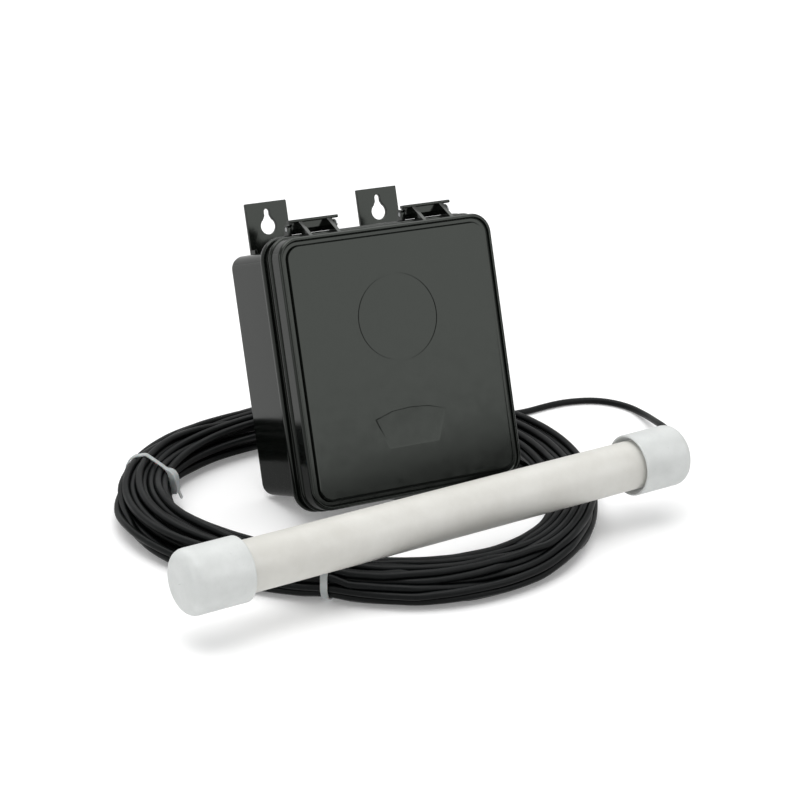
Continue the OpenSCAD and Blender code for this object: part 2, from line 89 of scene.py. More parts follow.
class Graph:
    """A material's node tree with short helpers. Lengths are in metres."""

    def __init__(self, name):
        self.mat = bpy.data.materials.new(name)
        self.mat.use_nodes = True
        self.tree = self.mat.node_tree
        self.shader = self.tree.nodes["Principled BSDF"]
        self.coords = self.tree.nodes.new("ShaderNodeTexCoord").outputs["Object"]

    def link(self, a, b):
        self.tree.links.new(a, b)

    def stretch(self, scale):
        node = self.tree.nodes.new("ShaderNodeMapping")
        node.inputs["Scale"].default_value = scale
        self.link(self.coords, node.inputs["Vector"])
        return node.outputs["Vector"]

    def noise(self, scale, detail=3.0, rough=0.5, vector=None):
        node = self.tree.nodes.new("ShaderNodeTexNoise")
        node.inputs["Scale"].default_value = scale
        node.inputs["Detail"].default_value = detail
        node.inputs["Roughness"].default_value = rough
        self.link(vector or self.coords, node.inputs["Vector"])
        return node.outputs["Fac"]

    def cells(self, scale):
        node = self.tree.nodes.new("ShaderNodeTexVoronoi")
        node.inputs["Scale"].default_value = scale
        self.link(self.coords, node.inputs["Vector"])
        return node.outputs["Distance"]

    def ramp(self, value, low, high, to_low=0.0, to_high=1.0):
        node = self.tree.nodes.new("ShaderNodeMapRange")
        node.inputs["From Min"].default_value = low
        node.inputs["From Max"].default_value = high
        node.inputs["To Min"].default_value = to_low
        node.inputs["To Max"].default_value = to_high
        self.link(value, node.inputs["Value"])
        return node.outputs["Result"]

    def mix(self, value, a, b):
        node = self.tree.nodes.new("ShaderNodeMix")
        node.data_type = "RGBA"
        for socket, colour in ((node.inputs[6], a), (node.inputs[7], b)):
            if isinstance(colour, tuple):
                socket.default_value = (*colour, 1)
            else:
                self.link(colour, socket)
        self.link(value, node.inputs[0])
        return node.outputs[2]

    def bump(self, value, depth, strength=1.0, normal=None):
        node = self.tree.nodes.new("ShaderNodeBump")
        node.inputs["Distance"].default_value = depth
        node.inputs["Strength"].default_value = strength
        self.link(value, node.inputs["Height"])
        if normal:
            self.link(normal, node.inputs["Normal"])
        return node.outputs["Normal"]

    def finish(self, colour, rough, normal=None, **values):
        for name, value in {"Base Color": colour, "Roughness": rough, "Normal": normal, **values}.items():
            if value is None:
                continue
            socket = self.shader.inputs[name]
            if isinstance(value, tuple):
                socket.default_value = (*value, 1)
            elif isinstance(value, (int, float)):
                socket.default_value = value
            else:
                self.link(value, socket)
        return self.mat


def shade(colour, factor):
    return tuple(c * factor for c in colour)


def plastic(name, colour, rough, grain=2200.0, depth=0.00002, **values):
    """Moulded plastic: slow colour drift, fine moulded grain, uneven sheen."""
    g = Graph(name)
    slow = g.noise(60, 4)
    fine = g.noise(grain, 2)
    tint = g.mix(g.ramp(slow, 0.35, 0.65), shade(colour, 0.88), shade(colour, 1.12))
    gloss = g.ramp(slow, 0.3, 0.7, rough * 0.9, rough * 1.12)
    return g.finish(tint, gloss, g.bump(fine, depth), **values)


def case_plastic():
    """Glossy black moulding: hardly any body colour, so it shows what it mirrors."""
    g = Graph("case_plastic")
    slow = g.noise(14, 3)
    mid = g.noise(120, 4, 0.6)
    dust = g.ramp(g.noise(700, 3, 0.7), 0.66, 0.78)
    base = g.mix(g.ramp(slow, 0.3, 0.7), (0.0022, 0.0028, 0.0023), (0.0036, 0.0043, 0.0036))
    tint = g.mix(dust, base, (0.0110, 0.0120, 0.0112))
    gloss = g.ramp(mid, 0.3, 0.7, 0.09, 0.14)
    wave = g.bump(g.noise(22, 2), 0.0001, 0.5)
    return g.finish(tint, gloss, g.bump(g.noise(3200, 2), 0.000002, 1.0, wave),
                    **{"IOR": 1.5, "Specular Tint": (0.93, 1.0, 0.925)})


def cable_jacket():
    g = Graph("cable_jacket")
    slow = g.noise(35, 3)
    scuff = g.ramp(g.noise(420, 4, 0.65), 0.56, 0.72)
    tint = g.mix(scuff, (0.0028, 0.0036, 0.0037), (0.0066, 0.0078, 0.0077))
    gloss = g.ramp(slow, 0.3, 0.7, 0.34, 0.50)
    return g.finish(tint, gloss, g.bump(g.noise(1500, 3), 0.00002), **{"Specular IOR Level": 0.16})


def pipe_plastic():
    g = Graph("pipe_plastic")
    smear = g.noise(26, 5, 0.65)
    lines = g.noise(600, 2, 0.5, g.stretch((0.03, 1.0, 1.0)))
    specks = g.ramp(g.noise(520, 3, 0.7), 0.66, 0.78)
    base = g.mix(g.ramp(smear, 0.36, 0.66), (0.640, 0.634, 0.598), (0.575, 0.567, 0.528))
    tint = g.mix(g.ramp(specks, 0, 1, 0, 0.3), base, (0.46, 0.44, 0.40))
    gloss = g.ramp(smear, 0.3, 0.7, 0.36, 0.50)
    return g.finish(tint, gloss, g.bump(lines, 0.00005, 0.6), **{"IOR": 1.5})


def cap_plastic():
    g = Graph("cap_plastic")
    smear = g.noise(48, 4, 0.6)
    pits = g.noise(750, 3, 0.6)
    base = g.mix(g.ramp(smear, 0.35, 0.68), (0.625, 0.642, 0.632), (0.560, 0.577, 0.567))
    tint = g.mix(g.ramp(pits, 0.62, 0.76, 0, 0.4), base, (0.46, 0.47, 0.46))
    gloss = g.ramp(smear, 0.3, 0.7, 0.30, 0.42)
    return g.finish(tint, gloss, g.bump(pits, 0.00006), **{"IOR": 1.5})


def tie_nylon():
    g = Graph("tie_nylon")
    cloud = g.noise(180, 3)
    base = g.mix(g.ramp(cloud, 0.3, 0.7), (0.40, 0.43, 0.43), (0.52, 0.55, 0.55))
    return g.finish(base, g.ramp(cloud, 0.3, 0.7, 0.28, 0.40), g.bump(g.noise(1200, 2), 0.00003),
                    **{"Transmission Weight": 0.2, "IOR": 1.53, "Subsurface Weight": 0.15,
                       "Subsurface Scale": 0.002})


def metal(name, colour, rough, along=(1.0, 1.0, 1.0)):
    g = Graph(name)
    brush = g.noise(900, 3, 0.6, g.stretch(along))
    tint = g.mix(g.ramp(brush, 0.3, 0.7), shade(colour, 0.86), colour)
    return g.finish(tint, g.ramp(brush, 0.3, 0.7, rough * 0.8, rough * 1.25), g.bump(brush, 0.00001),
                    **{"Metallic": 1.0})


def laminate():
    g = Graph("board_laminate")
    weave = g.cells(1400)
    slow = g.noise(90, 3)
    tint = g.mix(g.ramp(slow, 0.3, 0.7), (0.018, 0.115, 0.045), (0.026, 0.150, 0.062))
    return g.finish(tint, g.ramp(slow, 0.3, 0.7, 0.22, 0.34), g.bump(weave, 0.00002, 0.6))


def foam():
    g = Graph("foam_grey")
    pores = g.cells(1900)
    tint = g.mix(g.ramp(pores, 0.0, 0.5), (0.03, 0.03, 0.032), (0.10, 0.10, 0.105))
    return g.finish(tint, 0.9, g.bump(pores, 0.0002))


MATS = {
    "case_plastic": case_plastic(),
    "gasket_rubber": plastic("gasket_rubber", (0.035, 0.035, 0.036), 0.75, grain=2600, depth=0.0001),
    "pin_steel": metal("pin_steel", (0.56, 0.57, 0.58), 0.3, (0.05, 1, 1)),
    "bushing_plastic": plastic("bushing_plastic", (0.016, 0.016, 0.017), 0.4),
    "cable_jacket": cable_jacket(),
    "tie_nylon": tie_nylon(),
    "pipe_plastic": pipe_plastic(),
    "cap_plastic": cap_plastic(),
    "board_laminate": laminate(),
    "chip_plastic": plastic("chip_plastic", (0.02, 0.02, 0.021), 0.5),
    "tinned_metal": metal("tinned_metal", (0.72, 0.73, 0.74), 0.32),
    "copper": metal("copper", (0.78, 0.42, 0.24), 0.28),
    "capacitor_sleeve": plastic("capacitor_sleeve", (0.03, 0.05, 0.14), 0.25),
    "terminal_plastic": plastic("terminal_plastic", (0.03, 0.25, 0.10), 0.4),
    "switch_red": plastic("switch_red", (0.42, 0.02, 0.015), 0.35),
    "lever_white": plastic("lever_white", (0.80, 0.80, 0.77), 0.4),
    "trimmer_blue": plastic("trimmer_blue", (0.03, 0.12, 0.42), 0.35),
    "lens_red": plastic("lens_red", (0.55, 0.015, 0.012), 0.12, **{"Transmission Weight": 0.6}),
    "holder_plastic": plastic("holder_plastic", (0.02, 0.02, 0.021), 0.45),
    "cell_sleeve": plastic("cell_sleeve", (0.42, 0.16, 0.03), 0.22, **{"Metallic": 0.35}),
    "wire_red": plastic("wire_red", (0.40, 0.015, 0.012), 0.4),
    "wire_black": plastic("wire_black", (0.012, 0.012, 0.013), 0.4),
    "wire_grey": plastic("wire_grey", (0.55, 0.55, 0.53), 0.45),
    "core_steel": metal("core_steel", (0.30, 0.29, 0.28), 0.45, (0.05, 1, 1)),
    "bobbin_plastic": plastic("bobbin_plastic", (0.60, 0.52, 0.30), 0.5),
    "foam_grey": foam(),
}
SLOT = {s["node"]: s["material_slot"] for s in frame["record"]["subparts"]}
for name, node in nodes.items():
    node.data.materials.clear()
    node.data.materials.append(MATS[SLOT[name]])


def piece(name, mesh, body, slot, replaces=()):
    """Adds a mesh piece that rides on a body and may stand for CAD nodes."""
    obj = bpy.data.objects.new(name, mesh)
    collection.objects.link(obj)
    if not mesh.materials:
        mesh.materials.append(MATS[slot])
    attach(obj, body)
    if replaces:
        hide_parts(*replaces)
    return obj


# ---- Cable ----

BOX_ROUTE = [
    (48, 23.5, 15.8), (48, 21.8, 12), (48, 18.8, 8), (48.1, 14.9, 5), (48.7, 10.3, 3.2),
    (50.3, 5.6, 2.5), (53.3, 1.4, 2.5), (57.5, -1.9, 2.5), (63, -4, 2.5), (70, -4.8, 2.5),
    (79, -4.2, 2.5), (89.5, -3, 2.5), (99.5, -3.2, 2.5), (108.5, -6, 2.6), (116.5, -11.5, 3),
    (122.5, -19, 4), (126.5, -28, 5.2), (128.8, -36.5, 6.2),
]
PROBE_ROUTE = [
    (92, 176.5, 21.5), (106, 171.5, 21), (120, 166.5, 19), (133, 162, 16), (146, 158, 12),
    (158, 154.5, 8), (170, 151.5, 5), (182, 148.5, 3), (194, 146.5, 2.5), (206, 147, 2.5),
    (217, 149, 2.5), (229, 151, 2.5), (241, 151.5, 2.5), (252.5, 149.5, 2.5), (262.5, 145.5, 2.5),
    (271, 138, 2.5), (277, 127.5, 2.5), (280, 115, 2.7), (279, 102, 3.7), (275.5, 85.5, 6),
    (270, 68, 9), (263.5, 48, 12.6), (256, 29, 16.3), (247.5, 9.5, 20.5), (237.5, -9, 25),
    (227.5, -26, 29.8), (219, -40.5, 34), (212.2, -52, 37.8), (207, -60.5, 40.6), (202, -67, 41.9),
    (195.3, -71, 42),
]
CABLE_D = 5.0
STATIONS = 96  # points in one turn
FULL_TURNS = 29
STEPS = 420  # rounds of pushing the turns apart
SAG = 0.012  # how far the turns sink in each round, in millimetres
COIL_TILT = -0.272
RING_A, RING_B = 147.3, 161.8
# Where the ties are: degrees round the ring
TIES = {"cable_tie_left": 162.5, "cable_tie_front": 249.5}
STRAP_W = 4.8
STRAP_T = 1.2


def ring_centre(t):
    """Middle line of the bundle, seen from above, at parameter t."""
    swell = 1 - 0.035 * np.cos(3 * t) + 0.012 * np.sin(3 * t)
    x, y = RING_A * np.cos(t) * swell, RING_B * np.sin(t) * swell
    c, s = math.cos(COIL_TILT), math.sin(COIL_TILT)
    return np.stack([9.4 + x * c - y * s, 35.6 + x * s + y * c], -1)


def ring_normal(t):
    step = ring_centre(t + 1e-3) - ring_centre(t - 1e-3)
    step = step / np.linalg.norm(step, axis=-1, keepdims=True)
    return np.stack([step[..., 1], -step[..., 0]], -1)


def near_ties(t, spread):
    """How close t is to a tie, from 0 to 1."""
    gaps = [(t - math.radians(deg) + math.pi) % (2 * math.pi) - math.pi for deg in TIES.values()]
    return sum(np.exp(-((gap / spread) ** 2)) for gap in gaps)


def half_width(t):
    wide = 26.6 - 0.8 * np.cos(t) + 9.5 * np.sin(t) - 5.6 * np.cos(2 * t) + 1.9 * np.sin(2 * t)
    left = 2.5 * np.exp(8 * (np.cos(t - math.radians(195)) - 1))
    return np.minimum(wide + left, 34.0) * (1 - 0.28 * near_ties(t, 0.27))


def half_rise(t):
    """Half the bundle's height, less a cable: lower along the front, under the probe."""
    front = np.clip((np.cos(t - math.radians(285)) - 0.3) / 0.4, 0, 1)
    rear = np.exp(6 * (np.cos(t - math.radians(115)) - 1))
    return 11.3 - 1.9 * front + 3.0 * rear + 1.2 * near_ties(t, 0.2)


def lowest(t):
    """Height of the lowest turns' middle: a strap's thickness higher at a tie."""
    return CABLE_D / 2 + (STRAP_T + 0.2) * np.minimum(1, 1.3 * near_ties(t, 0.07))


def to_ring(point):
    """Parameter, offset outwards and height of a point near the ring."""
    t = np.linspace(0, 2 * math.pi, 1441)[:-1]
    i = int(np.argmin(np.linalg.norm(ring_centre(t) - np.array(point[:2]), axis=1)))
    away = np.dot(np.array(point[:2]) - ring_centre(t[i : i + 1])[0], ring_normal(t[i : i + 1])[0])
    return float(t[i]), float(away), float(point[2])


def smooth_curve(points, parts):
    """Catmull-Rom curve through the points."""
    p = np.array(points, float)
    p = np.vstack([2 * p[0] - p[1], p, 2 * p[-1] - p[-2]])
    out = []
    for i in range(1, len(p) - 2):
        for k in range(parts):
            u = k / parts
            out.append(0.5 * (2 * p[i] + (p[i + 1] - p[i - 1]) * u
                              + (2 * p[i - 1] - 5 * p[i] + 4 * p[i + 1] - p[i + 2]) * u * u
                              + (3 * p[i] - p[i - 1] - 3 * p[i + 1] + p[i + 2]) * u ** 3))
    out.append(p[-2])
    return np.array(out)


def station(t):
    return int(round(-t / (2 * math.pi) * STATIONS))


def station_blocks(route):
    """Where a lead passes each station of the ring, so the turns keep clear of it."""
    blocks = {}
    for t, u, w in map(to_ring, smooth_curve(route, 6)):
        if abs(u) < half_width(np.array(t)) + 8:
            blocks.setdefault(station(t) % STATIONS, (u, w))
    return blocks


def wind_coil():
    """Lays the turns of the coil: each wanders in the bundle, pushed off its neighbours."""
    t0, u0, w0 = to_ring(BOX_ROUTE[-1])
    t1, u1, w1 = to_ring(PROBE_ROUTE[0])
    first, last = station(t0), station(t1)
    while last < first:
        last += STATIONS
    last += FULL_TURNS * STATIONS
    index = np.arange(first, last + 1)
    t = -index * 2 * math.pi / STATIONS
    rng = np.random.default_rng(7)
    turns = (index - first) / STATIONS
    waves = np.zeros((len(index), 2))
    for period, size in ((7.3, 0.55), (3.7, 0.5), (2.3, 0.42), (1.45, 0.28), (0.93, 0.14)):
        phase = rng.uniform(0, 2 * math.pi, 2)
        stretch = rng.uniform(0.93, 1.07, 2)
        waves += size * np.sin(2 * math.pi * turns[:, None] / (period * stretch) + phase)
    waves /= np.maximum(1, np.linalg.norm(waves, axis=1, keepdims=True) / 0.96)
    a = half_width(t) - CABLE_D / 2
    b = half_rise(t)
    low = lowest(t)
    spot = np.stack([waves[:, 0] * a, low + b * (1 + waves[:, 1])], 1)
    count = -(-len(index) // STATIONS) + 1
    row = (index - first) % STATIONS
    col = (index - first) // STATIONS
    blocks = {(k - first) % STATIONS: v for k, v in {**station_blocks(BOX_ROUTE[:-1]),
                                                     **station_blocks(PROBE_ROUTE[1:])}.items()}
    ends = np.array([(u0, w0), (u1, w1)])
    grid = np.full((STATIONS, count + 1, 2), 1e4)
    grid += np.arange(count + 1)[None, :, None] * 50
    for k, v in blocks.items():
        grid[k, count] = v
    for step in range(STEPS):
        grid[row, col] = spot
        gap = grid[:, :, None] - grid[:, None, :]
        dist = np.linalg.norm(gap, axis=3) + 1e-6
        push = np.clip(CABLE_D * 1.01 - dist, 0, None) * (dist > 1e-3)
        move = (gap / dist[..., None] * push[..., None]).sum(2) * 0.45
        spot += move[row, col]
        if step < STEPS - 30:
            near = (spot[:-2] + spot[2:]) / 2
            spot[1:-1] += 0.35 * (near - spot[1:-1])
            spot[:, 1] -= SAG
        out = np.stack([spot[:, 0] / a, (spot[:, 1] - low - b) / b], 1)
        over = np.maximum(1, (np.abs(out) ** 3.2).sum(1) ** (1 / 3.2))
        spot[:, 0] -= 0.5 * (1 - 1 / over) * spot[:, 0]
        spot[:, 1] -= 0.5 * (1 - 1 / over) * (spot[:, 1] - low - b)
        spot[:, 1] = np.maximum(spot[:, 1], low)
        spot[0], spot[-1] = ends
    flat = ring_centre(t) + ring_normal(t) * spot[:, :1]
    return np.column_stack([flat, spot[:, 1]])


coil = wind_coil()
joined = np.vstack([np.array(BOX_ROUTE[:-1], float), coil, np.array(PROBE_ROUTE[1:], float)])
for _ in range(3):
    for lo in (len(BOX_ROUTE) - 6, len(joined) - len(PROBE_ROUTE) - 6):
        inner = slice(lo + 1, lo + 11)
        joined[inner] += 0.4 * ((joined[lo : lo + 10] + joined[lo + 2 : lo + 12]) / 2 - joined[inner])
path = smooth_curve(joined, 2) * MM
path[:, 2] = np.maximum(path[:, 2], CABLE_D / 2 * MM)
length = float(np.linalg.norm(np.diff(path, axis=0), axis=1).sum())

curve = bpy.data.curves.new("cable", "CURVE")
curve.dimensions = "3D"
curve.bevel_depth = CABLE_D / 2 * MM
curve.bevel_resolution = 3
spline = curve.splines.new("POLY")
spline.points.add(len(path) - 1)
spline.points.foreach_set("co", np.column_stack([path, np.ones(len(path))]).ravel())
curve.materials.append(MATS["cable_jacket"])
cable = bpy.data.objects.new("cable", curve)
collection.objects.link(cable)
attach(cable, "root")
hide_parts("cable_box_lead", "cable_coil", "cable_probe_lead")
print("cable", round(length, 3))


# ---- Mesh helpers: a part is (points in millimetres, faces) ----

def solid(name, parts, place, sharp=38):
    """One mesh from closed parts, with outward faces and smooth shading between the sharp edges."""
    points, faces = [], []
    for part_points, part_faces in parts:
        faces += [[i + len(points) for i in face] for face in part_faces]
        points += [tuple(p) for p in part_points]
    mesh = bpy.data.meshes.new(name)
    mesh.from_pydata(points, [], faces)
    mesh.transform(place)
    bm = bmesh.new()
    bm.from_mesh(mesh)
    bmesh.ops.recalc_face_normals(bm, faces=bm.faces)
    bm.to_mesh(mesh)
    bm.free()
    mesh.shade_smooth()
    mesh.set_sharp_from_angle(angle=math.radians(sharp))
    return mesh


def even_shading(obj):
    flat = obj.modifiers.new("even", "WEIGHTED_NORMAL")
    flat.keep_sharp = True


def loft(rings, closed=False):
    """Skin over rings with equal counts of points, capped at the ends unless closed."""
    n = len(rings[0])
    points = [p for ring in rings for p in ring]
    spans = len(rings) if closed else len(rings) - 1
    faces = []
    for i in range(spans):
        a, b = i * n, (i + 1) % len(rings) * n
        faces += [(a + k, a + (k + 1) % n, b + (k + 1) % n, b + k) for k in range(n)]
    if not closed:
        faces += [tuple(range(n)), tuple(range(len(points) - n, len(points)))]
    return points, faces


def moved(part, x=0, y=0, z=0):
    return [(p[0] + x, p[1] + y, p[2] + z) for p in part[0]], part[1]


def along_x(part):
    """Turns a part drawn along Z so that it lies along X."""
    return [(p[2], p[0], p[1]) for p in part[0]], part[1]


def along_y(part):
    """Turns a part drawn along Z so that it points to the front, with its X and Y upright."""
    return [(p[0], -p[2], p[1]) for p in part[0]], part[1]


def lathe(profile, sides=64, closed=True):
    """Turned solid about Z from (radius, height) points."""
    turns = [2 * math.pi * k / sides for k in range(sides)]
    return loft([[(r * math.cos(a), r * math.sin(a), z) for a in turns] for r, z in profile], closed)


def round_rect(w, h, r, steps=8):
    """Outline of a rectangle with round corners, about the origin."""
    out = []
    for sx, sy, start in ((1, 1, 0), (-1, 1, 90), (-1, -1, 180), (1, -1, 270)):
        for k in range(steps + 1):
            a = math.radians(start + 90 * k / steps)
            out.append((sx * (w / 2 - r) + r * math.cos(a), sy * (h / 2 - r) + r * math.sin(a)))
    return out


def brick(low, high, edge):
    """Box between two corners with rounded edges."""
    size = [b - a for a, b in zip(low, high)]
    mid = [(a + b) / 2 for a, b in zip(low, high)]
    rings = []
    for inset, z in ((edge, 0), (edge * 0.3, edge * 0.3), (0, edge), (0, size[2] - edge),
                     (edge * 0.3, size[2] - edge * 0.3), (edge, size[2])):
        outline = round_rect(size[0] - 2 * inset, size[1] - 2 * inset, edge, 2)
        rings.append([(mid[0] + x, mid[1] + y, low[2] + z) for x, y in outline])
    return loft(rings)


def arc(cx, cy, r, start, end, steps):
    return [(cx + r * math.cos(math.radians(start + (end - start) * k / steps)),
             cy + r * math.sin(math.radians(start + (end - start) * k / steps)))
            for k in range(steps + 1)]


def mesh_part(obj):
    """Points and faces of an object with its modifiers, and the object gone."""
    shown = obj.evaluated_get(bpy.context.evaluated_depsgraph_get())
    mesh = bpy.data.meshes.new_from_object(shown)
    bm = bmesh.new()
    bm.from_mesh(mesh)
    bmesh.ops.remove_doubles(bm, verts=bm.verts, dist=1e-4)
    bm.verts.index_update()
    part = [tuple(v.co) for v in bm.verts], [tuple(v.index for v in f.verts) for f in bm.faces]
    bm.free()
    bpy.data.meshes.remove(mesh)
    bpy.data.objects.remove(obj)
    return part


def plate(loops, thick, edge):
    """Flat plate in XY from z 0 up, with holes at the inner loops and rounded edges."""
    data = bpy.data.curves.new("plate", "CURVE")
    data.dimensions = "2D"
    data.fill_mode = "BOTH"
    data.extrude = thick / 2 - edge
    data.bevel_depth = edge
    data.bevel_resolution = 2
    data.offset = -edge
    for loop in loops:
        spline_ = data.splines.new("POLY")
        spline_.points.add(len(loop) - 1)
        spline_.points.foreach_set("co", [v for x, y in loop for v in (x, y, 0, 1)])
        spline_.use_cyclic_u = True
    obj = bpy.data.objects.new("plate", data)
    collection.objects.link(obj)
    return moved(mesh_part(obj), z=thick / 2)


def carve(part, cutter):
    """Cuts one closed part out of another."""
    objs = []
    for points, faces in (part, cutter):
        mesh = solid("carve", [(points, faces)], Matrix.Identity(4))
        obj = bpy.data.objects.new("carve", mesh)
        collection.objects.link(obj)
        objs.append(obj)
    cut = objs[0].modifiers.new("cut", "BOOLEAN")
    cut.object = objs[1]
    cut.operation = "DIFFERENCE"
    cut.solver = "EXACT"
    out = mesh_part(objs[0])
    bpy.data.objects.remove(objs[1])
    return out


# ---- Case mouldings, in the case's frame: front is -Y, z from the underside of the base ----

MID_Z = 84.5
LID_Z = -7.5
LID_TOP = 176.5
HINGE_Y = -72
HINGE_Z = 182.5
HINGE_W = 36.6
HINGES = (-43, 43)
LUG_T = 2.4


def slab_ring(w, h, r, y):
    return [(x, y, MID_Z + z) for x, z in round_rect(w, h, r, 10)]


def fillet(w, h, r, y, size, ease=0.75, steps=7):
    """Rings that round a slab's front edge: ends flat, inset by size."""
    rings = []
    for k in range(steps + 1):
        a = math.radians(90 * k / steps)
        inset = size * (1 - math.cos(a))
        rings.append(slab_ring(w - 2 * inset, h - 2 * inset, r - ease * inset, y - size * math.sin(a)))
    return rings


def make_lid():
    w, h, r, face = 161, 184, 14, -98
    inner = [slab_ring(151, 174, 9, -95), slab_ring(154.4, 177.4, 10.7, -94.4),
             slab_ring(155, 178, 11, -93)]
    rim = [slab_ring(155.2, 178.2, 11.1, -80.6), slab_ring(155.6, 178.6, 11.3, -80.4),
           slab_ring(160.2, 183.2, 13.6, -80.4), slab_ring(w, h, r, -80.9)]
    lip = [slab_ring(w + 2.4 * s, h + 2.4 * s, r + 1.2 * s, -82.9 + 1.7 * c)
           for c, s in arc(0, 0, 1, 0, 180, 9)]
    front = fillet(w, h, r, face + 2.0, 2.0)
    groove = [slab_ring(w - 2 * i, h - 2 * i, r - 0.8 * i, face + d)
              for i, d in ((2.2, 0.05), (2.5, 0.5), (2.9, 2.1), (3.4, 2.5), (5.4, 2.5), (5.9, 1.9),
                           (6.2, 0.6), (6.45, 0.2), (6.9, 0.1), (7.4, 0.1))]
    shell = loft(inner + rim + lip + front + groove)
    circle = along_y(lathe([(30, -1), (30, 1), (28.9, 1), (28.9, -1)], 128))
    shell = carve(shell, moved(circle, y=face + 0.1 - 0.4, z=LID_Z + 121.6))
    low = 34 + LID_Z
    shield = [(-19, low), (19, low), (27, low + 21), (14, low + 25), (0, low + 26), (-14, low + 25),
              (-27, low + 21)]
    middle = LID_Z + 50
    recess = loft([[(k * x, y, middle + k * (z - middle)) for x, z in shield]
                   for k, y in ((1, face - 2), (1, face + 0.11), (0.95, face + 0.36))])
    shell = carve(shell, recess)
    tongue = [slab_ring(154, 174, 10, y) for y in (-94.9, -81.2)] + [slab_ring(153.4, 173.4, 9.7, -80.7)]
    tongue += [slab_ring(150.6, 170.6, 8.3, -80.7)] + [slab_ring(150, 170, 8, y) for y in (-81.2, -94.9)]
    obj = piece("lid_moulding", solid("lid_moulding", [shell, loft(tongue, True)], CASE, 30), "lid",
                "case_plastic", ["lid"])
    even_shading(obj)


def yz_plate(loops, x, thick):
    """Upright plate from a side outline in Y and Z, centred on x."""
    return moved(along_x(plate(loops, thick, 0.3)), x=x - thick / 2)


def bore_loop(r):
    return arc(HINGE_Y, HINGE_Z, r, 0, 345, 23)


def barrel(x0, x1, r_out, r_in, edge=0.4):
    part = along_x(lathe([(r_in, 0), (r_out - edge, 0), (r_out, edge), (r_out, x1 - x0 - edge),
                          (r_out - edge, x1 - x0), (r_in, x1 - x0)], 40))
    return moved(part, x=x0, y=HINGE_Y, z=HINGE_Z)


def make_hinges():
    """Lid's knuckles and gussets, and the base's lugs between which they turn."""
    gusset = [(-96, LID_TOP - 1), (-78, HINGE_Z + 5.6), (-72.5, HINGE_Z + 5.6), (-69.2, HINGE_Z + 3.2),
              (-68.4, HINGE_Z - 0.4), (-70, HINGE_Z - 2.8), (-75, HINGE_Z - 3.0), (-81.9, HINGE_Z - 3.4),
              (-81.9, LID_TOP - 1)]
    lug = [(-75.2, LID_TOP + 1.5), (-70, LID_TOP + 1.5), (-70, 169), (-54, 169), (-68.8, HINGE_Z - 2.5)]
    lug += arc(HINGE_Y, HINGE_Z, 3.2, 0, 180, 12)
    knuckles, lugs = [], []
    half = HINGE_W / 2
    for hx in HINGES:
        for s in (-1, 1):
            knuckles.append(yz_plate([gusset, bore_loop(1.55)], hx + s * 10.5, 2.8))
        knuckles.append(barrel(hx - half + LUG_T + 0.3, hx + half - LUG_T - 0.3, 4, 1.55))
        knuckles.append(brick((hx - half, -79.5, HINGE_Z + 3.6), (hx + half, -74, HINGE_Z + 5.8), 0.6))
        knuckles.append(brick((hx - 15.2, -76.2, HINGE_Z - 1), (hx + 15.2, -74.2, HINGE_Z + 5), 0.5))
        for s in (-1, 1):
            lugs.append(yz_plate([lug, bore_loop(1.5)], hx + s * (half - LUG_T / 2), LUG_T))
    latch = [brick((-18.5, -95, LID_Z - 1.5), (18.5, -76, LID_Z - 0.5), 0.3),
             brick((-18.5, -95, LID_Z - 1.5), (18.5, -80.4, LID_Z + 0.3), 0.5)]
    latch += [brick((x - 0.6, -94, LID_Z - 1.5), (x + 0.6, -83, LID_Z - 1.1), 0.15)
              for x in range(-15, 16, 3)]
    even_shading(piece("lid_knuckles", solid("lid_knuckles", knuckles, CASE), "lid", "case_plastic"))
    even_shading(piece("lid_latch", solid("lid_latch", latch, CASE), "lid", "case_plastic"))
    even_shading(piece("base_lugs", solid("base_lugs", lugs, CASE), "root", "case_plastic",
                       ["base_hinge_lugs"]))


def make_base():
    inner = [slab_ring(138, 155, 2.5, -3), slab_ring(145, 162, 5.5, -3.6), slab_ring(146, 163, 6, -5),
             slab_ring(146, 163, 6, -79.5), slab_ring(147, 164, 6.5, -80)]
    seal = [slab_ring(149, 169, 8, -80), slab_ring(149, 169, 8, -77.8), slab_ring(155, 175, 11, -77.8),
            slab_ring(155, 175, 11, -80)]
    rim = [slab_ring(157.2, 180.2, 12.1, -80), slab_ring(158, 181, 12.5, -79.5),
           slab_ring(158, 181, 12.5, -74.4), slab_ring(158.5, 181.5, 12.7, -74)]
    bead = [slab_ring(162.4 + 2.4 * s, 185.4 + 2.4 * s, 14.7 + 1.2 * s, -71.2 - 2.8 * c)
            for c, s in arc(0, 0, 1, 0, 176, 8)]
    back = [slab_ring(152.8, 169.8, 9.4, -68.4), slab_ring(152, 169, 9, -67.8),
            slab_ring(152, 169, 9, -4.2)]
    rear = [slab_ring(152 - 8.4 * (1 - c), 169 - 8.4 * (1 - c), 9 - 3.36 * (1 - c), -4.2 + 4.2 * s)
            for c, s in arc(0, 0, 1, 15, 90, 5)]
    shell = loft(inner + seal + rim + bead + back + rear)
    shell = carve(shell, moved(lathe([(5.5, -6), (5.5, 6)], 48, False), x=19.5, y=-61.5))
    obj = piece("base_moulding", solid("base_moulding", [shell], CASE, 30), "root", "case_plastic",
                ["base_housing"])
    even_shading(obj)


